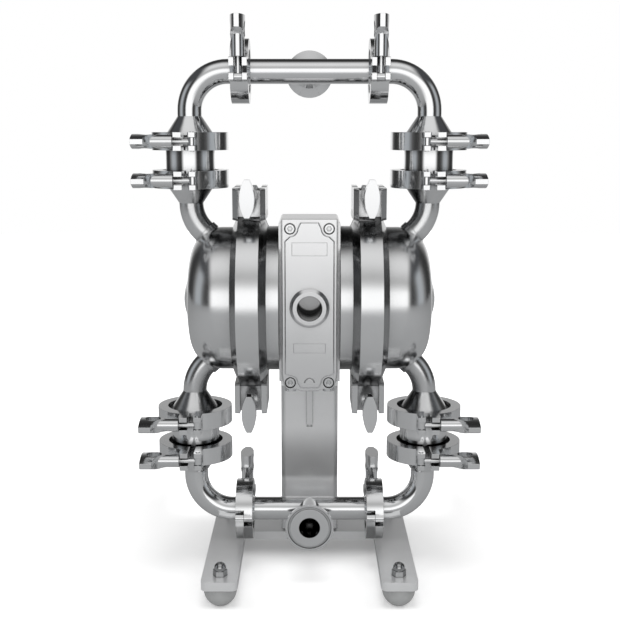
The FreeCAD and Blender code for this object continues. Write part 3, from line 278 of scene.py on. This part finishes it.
class Nodes:
    """A material's or a world's node tree, with short calls for adding and joining nodes.

    The calls from math on give a node's output.
    """

    def __init__(self, tree):
        self.tree = tree
        self.tree.nodes.clear()

    def add(self, kind, **settings):
        """New node of a kind with these settings."""
        node = self.tree.nodes.new(kind)
        for name, value in settings.items():
            setattr(node, name, value)
        return node

    def join(self, source, target):
        """Joins an output to a socket."""
        self.tree.links.new(source, target)

    def feed(self, value, target):
        """Joins an output to a socket, or sets the socket to a plain value."""
        if isinstance(value, bpy.types.NodeSocket):
            self.join(value, target)
        else:
            target.default_value = value

    def split(self, vector):
        """Outputs x, y and z of a vector."""
        node = self.add("ShaderNodeSeparateXYZ")
        self.join(vector, node.inputs[0])
        return tuple(node.outputs)

    def math(self, operation, first, second=0.0, clamp=False):
        node = self.add("ShaderNodeMath", operation=operation, use_clamp=clamp)
        self.feed(first, node.inputs[0])
        self.feed(second, node.inputs[1])
        return node.outputs[0]

    def plus(self, first, second):
        return self.math("ADD", first, second)

    def minus(self, first, second):
        return self.math("SUBTRACT", first, second)

    def times(self, first, second):
        return self.math("MULTIPLY", first, second)

    def ratio(self, first, second):
        return self.math("DIVIDE", first, second)

    def absolute(self, value):
        return self.math("ABSOLUTE", value)

    def is_less(self, first, second):
        return self.math("LESS_THAN", first, second)

    def is_more(self, first, second):
        return self.math("GREATER_THAN", first, second)

    def length(self, first, second):
        """Length of a flat vector."""
        square = self.plus(self.times(first, first), self.times(second, second))
        return self.math("SQRT", square)

    def smooth_range(self, value, low, high, start=0.0, end=1.0):
        """Soft step from start to end while the value goes from low to high."""
        node = self.add("ShaderNodeMapRange", interpolation_type="SMOOTHSTEP")
        self.feed(value, node.inputs[0])
        for socket, number in zip(node.inputs[1:5], (low, high, start, end)):
            socket.default_value = number
        return node.outputs[0]

    def mix(self, factor, first, second):
        """First colour at factor 0, second at factor 1."""
        node = self.add("ShaderNodeMix", data_type="RGBA")
        self.feed(factor, node.inputs[0])
        self.feed(first, node.inputs[6])
        self.feed(second, node.inputs[7])
        return node.outputs[2]

    def ramp(self, factor, stops):
        """Grey or coloured stops as (position, value) pairs."""
        node = self.add("ShaderNodeValToRGB")
        elements = node.color_ramp.elements
        while len(elements) < len(stops):
            elements.new(0.5)
        for element, (position, value) in zip(elements, stops):
            element.position = position
            element.color = (*value, 1.0) if isinstance(value, tuple) else grey(value)
        self.feed(factor, node.inputs[0])
        return node.outputs[0]

    def noise(self, vector, scale, detail, roughness):
        node = self.add("ShaderNodeTexNoise")
        self.join(vector, node.inputs["Vector"])
        node.inputs["Scale"].default_value = scale
        node.inputs["Detail"].default_value = detail
        node.inputs["Roughness"].default_value = roughness
        return node.outputs[0]


# Colour of the painted shade in the air ports' bores and on the bands, covers, column, valve necks and
# jaws
DARK = grey(PAINTED_SHADE_LEVEL)


def painted_port_bore(nodes, x, y, z, radius, side):
    """Share and colour of the bore of an air port: painted shade on its wall and a painted highlight on
    its end face.
    """
    rise = nodes.minus(z, AXIS_HEIGHT - PORT_DROP)
    distance = nodes.length(x, rise)
    on_side = nodes.is_more(nodes.times(y, side), 0.0)
    painted_light = nodes.times(nodes.is_less(distance, radius + BORE_MARGIN), on_side)
    from_highlight = nodes.length(x, nodes.minus(rise, PORT_HIGHLIGHT_RISE * radius))
    end = nodes.smooth_range(from_highlight, PORT_HIGHLIGHT_REACH * radius, PORT_HIGHLIGHT_CORE * radius,
                             PAINTED_SHADE_LEVEL, PORT_HIGHLIGHT_LEVEL)
    wall = nodes.is_more(distance, radius - BORE_MARGIN)
    return painted_light, nodes.mix(wall, end, DARK)


def painted_port_bores(nodes, x, y, z):
    """Share and colour of the painted shade and highlight in both air ports' bores."""
    front, front_shade = painted_port_bore(nodes, x, y, z, FRONT_PORT_RADIUS, -1.0)
    rear, rear_shade = painted_port_bore(nodes, x, y, z, REAR_PORT_RADIUS, 1.0)
    return nodes.plus(front, rear), nodes.mix(front, rear_shade, front_shade)


def painted_tube_shade(nodes, x, y, z):
    """Share and colour of the painted shade in the manifolds' insides and on the edge of each port's
    gasket groove.
    """
    height = nodes.minus(z, AXIS_HEIGHT)
    rise = nodes.minus(nodes.absolute(height), MANIFOLD_RISE)
    toward_port = nodes.times(y, nodes.math("SIGN", height))
    in_tube = nodes.is_less(nodes.length(y, rise), TUBE_BORE + BORE_MARGIN)
    from_port_axis = nodes.length(x, rise)
    in_port = nodes.is_less(from_port_axis, TUBE_BORE + BORE_MARGIN)
    in_port = nodes.times(in_port, nodes.is_more(toward_port, 0.0))
    from_edge = nodes.absolute(nodes.minus(from_port_axis, GROOVE_EDGE))
    at_edge = nodes.is_less(from_edge, GROOVE_SHADE_HALF)
    at_edge = nodes.times(at_edge, nodes.is_more(toward_port, GROOVE_PLACE))
    share = nodes.math("MAXIMUM", nodes.math("MAXIMUM", in_tube, in_port), at_edge)
    return share, grey(TUBE_PAINTED_SHADE_LEVEL)


def painted_band_shade(nodes, x, y, z):
    """Share and colour of the painted shade on a clamp band's flanks, and on its crown where the lugs
    stand.
    """
    height = nodes.minus(z, AXIS_HEIGHT)
    distance = nodes.length(y, height)
    across = nodes.absolute(nodes.minus(nodes.absolute(x), BAND_OFFSET))
    on_crown = nodes.is_less(across, BAND_CROWN_HALF + BORE_MARGIN)
    on_ring = nodes.is_less(distance, BAND_RADIUS + BORE_MARGIN)
    near_lug = nodes.smooth_range(nodes.absolute(height), LUG_SHADE_START, LUG_SHADE_END)
    crown = nodes.times(on_crown, nodes.times(near_lug, CROWN_SHADE))
    flank = nodes.times(nodes.minus(1.0, on_crown), FLANK_SHADE)
    return nodes.times(on_ring, nodes.plus(crown, flank)), DARK


def shaded_covers(nodes, x, y, z):
    """Share and colour of the painted shade on the covers' shoulders beside the stubs, apart from the
    ridge in the middle.
    """
    height = nodes.minus(z, AXIS_HEIGHT)
    on_cover = nodes.is_less(nodes.length(y, height), COVER_RADIUS)
    rise = nodes.absolute(height)
    share = nodes.smooth_range(rise, COVER_SHADE_START, COVER_SHADE_END, 0.0, COVER_SHADE)
    beside_stub = nodes.smooth_range(nodes.absolute(x), STUB_START, STUB_FULL, 1.0, 0.0)
    facing = nodes.smooth_range(nodes.absolute(y), RIDGE_START, RIDGE_END)
    share = nodes.times(share, nodes.times(beside_stub, facing))
    return nodes.times(on_cover, share), DARK


def shaded_column(nodes, x, y, z):
    """Share and colour of the painted shade on the column where the suction manifold stands before it.
    """
    above = nodes.smooth_range(z, COLUMN_SHADE_HIGH, COLUMN_SHADE_FULL, 0.0, COLUMN_SHADE)
    below = nodes.smooth_range(z, COLUMN_SHADE_LOW, COLUMN_SHADE_EDGE)
    return nodes.times(above, below), DARK


def shaded_necks(nodes, x, y, z):
    """Share and colour of the painted shade on the lower valves' lower ends, deep in their clamps."""
    return nodes.smooth_range(z, NECK_SHADE_START, NECK_SHADE_END, 0.0, NECK_SHADE), DARK


def shaded_jaws(nodes, x, y, z):
    """Share and colour of the painted shade on the suction manifold clamps' undersides."""
    return nodes.smooth_range(z, JAW_SHADE_START, JAW_SHADE_END, 0.0, JAW_SHADE), DARK


def new_surface(name):
    """New material, its nodes and its shader, which is joined to the output."""
    material = bpy.data.materials.new(name)
    material.use_nodes = True
    nodes = Nodes(material.node_tree)
    shader = nodes.add("ShaderNodeBsdfPrincipled")
    output = nodes.add("ShaderNodeOutputMaterial")
    nodes.join(shader.outputs[0], output.inputs[0])
    return material, nodes, shader


def stretched(nodes, factors):
    """Object coordinates, stretched so that a noise in them runs as brushed lines."""
    place = nodes.add("ShaderNodeTexCoord")
    mapping = nodes.add("ShaderNodeMapping")
    nodes.join(place.outputs["Object"], mapping.inputs["Vector"])
    mapping.inputs["Scale"].default_value = factors
    return mapping.outputs["Vector"]


def wandering(nodes, noise, spread):
    """Noise moved to run about zero, with a spread."""
    return nodes.times(nodes.minus(noise, 0.5), spread)


def clouded(nodes, patches, colour, cloud):
    """Colour that is darker and lighter by the share cloud from patch to patch."""
    darker = tuple(c * (1 - cloud) for c in colour)
    lighter = tuple(min(1.0, c * (1 + cloud)) for c in colour)
    return nodes.ramp(patches, [(PATCH_LOW, darker), (PATCH_HIGH, lighter)])


def bumped(nodes, shader, height, strength, depth):
    """Joins a bump of a height to the shader, and gives the bump's node."""
    bump = nodes.add("ShaderNodeBump")
    bump.inputs["Strength"].default_value = strength
    bump.inputs["Distance"].default_value = depth
    nodes.join(height, bump.inputs["Height"])
    nodes.join(bump.outputs[0], shader.inputs["Normal"])
    return bump


def metal(name, colour, roughness, spread, grain, grain_scale, grain_stretch=(1, 1, 1), edge=0.0004,
          crease=0.003, crease_dark=0.35, crease_end=0.8, metallic=1.0, painted_light=None):
    """Metal with a slightly uneven polish, a fine grain, worn edges and painted shade in its creases.

    The function given for painted light gives the share and the colour of painted shade in bores and
    other places, and of a painted highlight in the air ports' bores.
    """
    material, nodes, shader = new_surface(name)
    shader.inputs["Metallic"].default_value = metallic

    place = stretched(nodes, (1, 1, 1))
    patches = nodes.noise(place, METAL_PATCH_SCALE, METAL_PATCH_DETAIL, NOISE_ROUGHNESS)
    lines = stretched(nodes, grain_stretch)
    grained = nodes.noise(lines, grain_scale, METAL_GRAIN_DETAIL, NOISE_ROUGHNESS)
    uneven = nodes.plus(wandering(nodes, patches, spread), wandering(nodes, grained, spread))
    nodes.join(nodes.math("ADD", uneven, roughness, clamp=True), shader.inputs["Roughness"])

    body = clouded(nodes, patches, colour, METAL_CLOUD)
    bevel = nodes.add("ShaderNodeBevel", samples=EDGE_SAMPLES)
    bevel.inputs["Radius"].default_value = edge
    geometry = nodes.add("ShaderNodeNewGeometry")
    bend = nodes.add("ShaderNodeVectorMath", operation="DOT_PRODUCT")
    nodes.join(bevel.outputs[0], bend.inputs[0])
    nodes.join(geometry.outputs["Normal"], bend.inputs[1])
    worn = nodes.smooth_range(bend.outputs["Value"], EDGE_START, EDGE_END, 0.0, EDGE_SHARE)
    bright = tuple(min(1.0, c * EDGE_GAIN + EDGE_LIFT) for c in colour)
    unshaded = nodes.mix(worn, body, (*bright, 1.0))

    # Painted shade: the colour darkens where ambient occlusion finds creases and parts close by
    shade = nodes.add("ShaderNodeAmbientOcclusion", samples=CREASE_SAMPLES)
    shade.inputs["Distance"].default_value = crease
    open_share = nodes.smooth_range(shade.outputs["AO"], CREASE_START, crease_end)
    painted_crease_shade = tuple(c * crease_dark for c in colour)
    shown = nodes.mix(open_share, (*painted_crease_shade, 1.0), unshaded)
    # Painted shade at the places the given function picks, and a painted highlight in the air ports'
    # bores
    if painted_light:
        share, painted_colour = painted_light(nodes, *nodes.split(place))
        shown = nodes.mix(share, shown, painted_colour)
    nodes.join(shown, shader.inputs["Base Color"])

    bump = bumped(nodes, shader, grained, grain, METAL_GRAIN_DEPTH)
    nodes.join(bevel.outputs[0], bump.inputs["Normal"])
    return material


def plain(name, colour, roughness, grain, grain_scale):
    """Rubber or plastic: a matt body with a fine skin and soft unevenness in its colour."""
    material, nodes, shader = new_surface(name)
    shader.inputs["Specular IOR Level"].default_value = PLAIN_SPECULAR
    place = stretched(nodes, (1, 1, 1))
    patches = nodes.noise(place, PLAIN_PATCH_SCALE, PLAIN_PATCH_DETAIL, NOISE_ROUGHNESS)
    skin = nodes.noise(place, grain_scale, PLAIN_SKIN_DETAIL, PLAIN_SKIN_ROUGHNESS)
    nodes.join(clouded(nodes, patches, colour, PLAIN_CLOUD), shader.inputs["Base Color"])
    uneven = wandering(nodes, patches, PLAIN_SPREAD)
    nodes.join(nodes.math("ADD", uneven, roughness, clamp=True), shader.inputs["Roughness"])
    bumped(nodes, shader, skin, grain, PLAIN_SKIN_DEPTH)
    return material


# Looks that several metals share
POLISHED = {
    "colour": TUBE_COLOUR, "roughness": 0.10, "spread": 0.05, "grain": 0.02, "grain_scale": 900.0,
}
DEEP_CREASES = {"crease": 0.012, "crease_dark": 0.2, "crease_end": 0.85}
TURNED = {"grain": 0.05, "grain_scale": 700.0, "grain_stretch": (1.0, 0.03, 0.03), "crease_end": 0.86}
BRUSHED = {
    "colour": STAND_COLOUR, "roughness": 0.30, "spread": 0.08, "grain": 0.08, "grain_scale": 900.0,
    "grain_stretch": (12.0, 12.0, 0.6), "metallic": 0.68,
}

# Looks of each metal, as the function metal takes them
METALS = {
    "polished_steel": {**POLISHED, **DEEP_CREASES},
    "valve_steel": {**POLISHED, **DEEP_CREASES, "painted_light": shaded_necks},
    "manifold_steel": {
        **POLISHED, "crease": 0.008, "crease_dark": 0.15, "crease_end": 0.92, "painted_light": painted_tube_shade,
    },
    "turned_steel": {
        **TURNED, "colour": TUBE_COLOUR, "roughness": 0.19, "spread": 0.04,
        "crease": 0.05, "crease_dark": 0.12, "painted_light": shaded_covers,
    },
    "band_steel": {
        **TURNED, "colour": CAST_COLOUR, "roughness": 0.17, "spread": 0.05,
        "crease": 0.012, "crease_dark": 0.15, "painted_light": painted_band_shade,
    },
    "clamp_steel": {
        "colour": CAST_COLOUR, "roughness": 0.13, "spread": 0.08, "grain": 0.05, "grain_scale": 1400.0,
        "crease": 0.007, "crease_dark": 0.22, "painted_light": shaded_jaws,
    },
    "bright_fasteners": {
        "colour": (0.92, 0.925, 0.93), "roughness": 0.11, "spread": 0.05, "grain": 0.02,
        "grain_scale": 1200.0, "edge": 0.0003,
    },
    "nut_steel": {
        "colour": (0.48, 0.485, 0.49), "roughness": 0.14, "spread": 0.08, "grain": 0.05,
        "grain_scale": 1400.0, "crease": 0.004, "crease_dark": 0.2,
    },
    "housing_metal": {
        "colour": (0.93, 0.93, 0.935), "roughness": 0.19, "spread": 0.04, "grain": 0.06,
        "grain_scale": 2600.0, "edge": 0.0006, "crease": 0.005, "crease_dark": 0.12,
        "crease_end": 0.9, "painted_light": painted_port_bores,
    },
    "stand_steel": BRUSHED,
    "column_steel": {**BRUSHED, "painted_light": shaded_column},
}

# Colour, roughness, and the strength and scale of the skin's grain
RUBBERS_AND_PLASTICS = {
    "foot_rubber": ((0.34, 0.345, 0.345), 0.55, 0.2, 1800.0),
    "diaphragm_rubber": ((0.80, 0.80, 0.78), 0.5, 0.15, 1500.0),
    "gasket_rubber": ((0.02, 0.02, 0.02), 0.6, 0.15, 1500.0),
    "ball_plastic": ((0.84, 0.84, 0.82), 0.35, 0.05, 900.0),
    "bushing_plastic": ((0.62, 0.60, 0.55), 0.5, 0.1, 900.0),
}

# Pieces whose looks differ from those of their slot, most of them by painted shade at set places
FINISHES = {
    "fluid_cover_left": "turned_steel",
    "fluid_cover_right": "turned_steel",
    "air_covers": "turned_steel",
    "clamp_bands": "band_steel",
    "foot_cap_nuts": "nut_steel",
    "valve_spools": "valve_steel",
    "stand_column": "column_steel",
    "discharge_manifold": "manifold_steel",
    "suction_manifold": "manifold_steel",
}

materials = {name: metal(name, **looks) for name, looks in METALS.items()}
for name, looks in RUBBERS_AND_PLASTICS.items():
    materials[name] = plain(name, *looks)

slots = {part["node"]: part["material_slot"] for part in frame["record"]["subparts"]}
for name, node in frame["nodes"].items():
    node.data.materials.clear()
    node.data.materials.append(materials[FINISHES.get(name, slots[name])])


def renew_normals(mesh):
    """Drops the stored normals, which don't fit a changed mesh, and marks the sharp edges anew."""
    mesh.attributes.remove(mesh.attributes["custom_normal"])
    mesh.set_sharp_from_angle(angle=math.radians(SHARP_ANGLE_DEG))


def slanted_bands():
    """Clamp bands whose lug walls are cut back outwards at the front."""
    mesh = frame["nodes"]["clamp_bands"].data.copy()
    wall = LUG_OUTSIDE - LUG_INSIDE
    for vertex in mesh.vertices:
        x, y, z = vertex.co
        across = abs(abs(x) - BAND_OFFSET)
        front = LUG_FRONT - LUG_SLANT * (across - LUG_INSIDE) / wall
        in_wall = LUG_INSIDE - BORE_MARGIN < across < LUG_OUTSIDE + BORE_MARGIN
        height = z - AXIS_HEIGHT
        radius = math.hypot(y, height)
        if not in_wall or abs(y) <= front or abs(height) < BAND_RADIUS - LUG_DEPTH:
            continue
        vertex.co.y = math.copysign(front, y)
        if radius < BAND_RADIUS:
            vertex.co.z = AXIS_HEIGHT + math.copysign(math.sqrt(radius ** 2 - front ** 2), height)
    renew_normals(mesh)
    piece = placed("slanted_clamp_bands", mesh)
    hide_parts("clamp_bands")
    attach(piece, "root")


def turned_jaws(node):
    """Jaws of which those on the suction manifold have the hinge's lap on the other side."""
    mesh = frame["nodes"][node].data.copy()
    shape = bmesh.new()
    shape.from_mesh(mesh)
    turned = set()
    for vertex in shape.verts:
        middle = math.copysign(LOWER_CLAMP_OFFSET, vertex.co.x)
        if vertex.co.z < LOWER_CLAMP_TOP and abs(vertex.co.x - middle) < LOWER_CLAMP_HALF:
            vertex.co.x = 2 * middle - vertex.co.x
            turned.add(vertex)
    faces = [face for face in shape.faces if turned.issuperset(face.verts)]
    bmesh.ops.reverse_faces(shape, faces=faces)
    shape.to_mesh(mesh)
    shape.free()
    renew_normals(mesh)
    piece = placed("turned_" + node, mesh)
    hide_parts(node)
    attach(piece, "root")


def outline_frame(name, half_width, low, high):
    """Thin raised rectangle on the front panel, bare inside, from low to high above the pump's axis."""
    sunk = -PANEL_FACE + OUTLINE_SUNK
    raised = -PANEL_FACE - OUTLINE_RISE
    mesh = bpy.data.meshes.new(name)
    shape = bmesh.new()
    rings = []
    for y, inset in ((sunk, 0.0), (raised, 0.0), (raised, OUTLINE_WIDTH), (sunk, OUTLINE_WIDTH)):
        left = inset - half_width
        right = half_width - inset
        bottom = AXIS_HEIGHT + low + inset
        top = AXIS_HEIGHT + high - inset
        corners = ((left, bottom), (right, bottom), (right, top), (left, top))
        rings.append([shape.verts.new((x, y, z)) for x, z in corners])
    for ring, next_ring in zip(rings, rings[1:] + rings[:1]):
        for step in range(len(ring)):
            after = (step + 1) % len(ring)
            shape.faces.new((ring[step], ring[after], next_ring[after], next_ring[step]))
    bmesh.ops.recalc_face_normals(shape, faces=shape.faces)
    shape.to_mesh(mesh)
    shape.free()
    mesh.materials.append(materials["housing_metal"])
    piece = placed(name, mesh)
    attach(piece, "root")


def floor():
    """Disc that fades to white for the camera, and shows in metal as a dim floor between light walls."""
    mesh = bpy.data.meshes.new("floor")
    shape = bmesh.new()
    bmesh.ops.create_circle(shape, cap_ends=True, radius=FLOOR_RADIUS, segments=FLOOR_SEGMENTS)
    shape.to_mesh(mesh)
    shape.free()
    material = bpy.data.materials.new("floor_white")
    material.use_nodes = True
    nodes = Nodes(material.node_tree)
    output = nodes.add("ShaderNodeOutputMaterial")
    rays = nodes.add("ShaderNodeLightPath")
    body = nodes.add("ShaderNodeBsdfDiffuse")
    in_metal = rays.outputs["Is Glossy Ray"]
    nodes.join(nodes.mix(in_metal, FLOOR_COLOUR, FLOOR_IN_METAL), body.inputs["Color"])
    place = nodes.add("ShaderNodeTexCoord").outputs["Object"]
    x, y, _ = nodes.split(place)

    # In metal the floor grows light to the far front and rear, as if it ran up into white walls
    ahead = nodes.times(y, -1.0)
    along = nodes.plus(nodes.ratio(ahead, 2 * FLOOR_RADIUS), 0.5)
    stops = [(0.5 + metres / (2 * FLOOR_RADIUS), level) for metres, level in FLOOR_RUN_UP]
    run_up = nodes.ramp(along, stops)
    reach = nodes.math("MAXIMUM", nodes.absolute(ahead), NEAREST_REACH)
    sideways = nodes.ratio(nodes.absolute(x), reach)
    beside_walls = nodes.smooth_range(sideways, FLOOR_SIDE_START, FLOOR_SIDE_END)
    run_up = nodes.mix(beside_walls, run_up, grey(FLOOR_SIDE_LEVEL))

    # To the camera it glows with painted light, which lightens its shadows near the pump and fades into
    # the white background away from it
    away = nodes.add("ShaderNodeVectorMath", operation="LENGTH")
    nodes.join(place, away.inputs[0])
    fade = nodes.ramp(away.outputs["Value"], FLOOR_FADE)
    # Set areas get a glow of their own: a weak one, so that the shadow under the stand's cross plate
    # shows dark, and painted light over the front lamp's shadow further behind
    for rear_start, rear_full, side_full, side_end, level in FLOOR_AREAS:
        behind = nodes.smooth_range(y, rear_start, rear_full)
        within = nodes.smooth_range(nodes.absolute(x), side_full, side_end, 1.0, 0.0)
        fade = nodes.mix(nodes.times(behind, within), fade, grey(level))

    to_camera = nodes.mix(rays.outputs["Is Camera Ray"], grey(0.0), fade)
    glow = nodes.add("ShaderNodeEmission")
    nodes.join(nodes.mix(in_metal, to_camera, run_up), glow.inputs["Color"])
    total = nodes.add("ShaderNodeAddShader")
    nodes.join(body.outputs[0], total.inputs[0])
    nodes.join(glow.outputs[0], total.inputs[1])
    nodes.join(total.outputs[0], output.inputs[0])
    mesh.materials.append(material)
    piece = placed("floor", mesh)


def studio():
    """World that is white to the camera, even grey to matt surfaces, and a lit room to metal."""
    world = bpy.data.worlds.new("studio")
    bpy.context.scene.world = world
    world.use_nodes = True
    nodes = Nodes(world.node_tree)
    output = nodes.add("ShaderNodeOutputWorld")
    background = nodes.add("ShaderNodeBackground")
    nodes.join(background.outputs[0], output.inputs[0])
    x, y, z = nodes.split(nodes.add("ShaderNodeTexCoord").outputs["Generated"])
    to_front = nodes.times(y, -1.0)
    sideways = nodes.absolute(x)

    # Turn over the pump: the front horizon at 0.5, the zenith at 0.75, the rear horizon at 1
    turn_over = nodes.plus(nodes.ratio(nodes.math("ARCTAN2", z, to_front), 2 * math.pi), 0.5)
    front = nodes.ramp(turn_over, [(0.5 + degrees / 360.0, level) for degrees, level in STUDIO_OVER])

    # Turn round the pump: the front at 0, the rear at 1
    turn_round = nodes.ratio(nodes.math("ARCTAN2", sideways, to_front), math.pi)
    walls = nodes.ramp(turn_round, [(degrees / 180, level) for degrees, level in STUDIO_WALLS])
    walls = nodes.mix(nodes.smooth_range(z, WALL_TOP_START, WALL_TOP_END), walls, WALL_TOP_COLOUR)
    in_metal = nodes.mix(nodes.smooth_range(sideways, WALL_SIDE_START, WALL_SIDE_END), front, walls)

    rays = nodes.add("ShaderNodeLightPath")
    seen = nodes.mix(rays.outputs["Is Diffuse Ray"], in_metal, grey(DIFFUSE_LEVEL))
    seen = nodes.mix(rays.outputs["Is Camera Ray"], seen, grey(1.0))
    nodes.join(seen, background.inputs["Color"])


def softbox(name, place, target, width, height, power):
    """Rectangular lamp that looks at its target and isn't mirrored in metal."""
    light = bpy.data.lights.new(name, "AREA")
    light.shape = "RECTANGLE"
    light.size = width
    light.size_y = height
    light.energy = power
    lamp = placed(name, light)
    lamp.location = place
    lamp.rotation_euler = (Vector(target) - Vector(place)).to_track_quat("-Z", "Y").to_euler()
    lamp.visible_glossy = False


def front_camera():
    """Camera at the place and with the lens that were fitted to the photograph."""
    data = bpy.data.cameras.new("camera")
    data.lens = CAMERA_LENS_MM
    data.sensor_width = CAMERA_SENSOR_MM
    data.shift_x = (IMAGE_WIDTH / 2 - PRINCIPAL_U) / IMAGE_WIDTH
    camera = placed("camera", data)
    camera.location = CAMERA_PLACE
    camera.rotation_euler = (math.radians(90.0 - CAMERA_PITCH_DEG), 0.0, 0.0)
    bpy.context.scene.camera = camera


slanted_bands()
turned_jaws("pivot_jaws")
turned_jaws("slotted_jaws")
for outline in OUTLINES:
    outline_frame(*outline)
floor()
studio()
for box in SOFTBOXES:
    softbox(*box)
front_camera()
bpy.context.scene.view_settings.view_transform = "Standard"
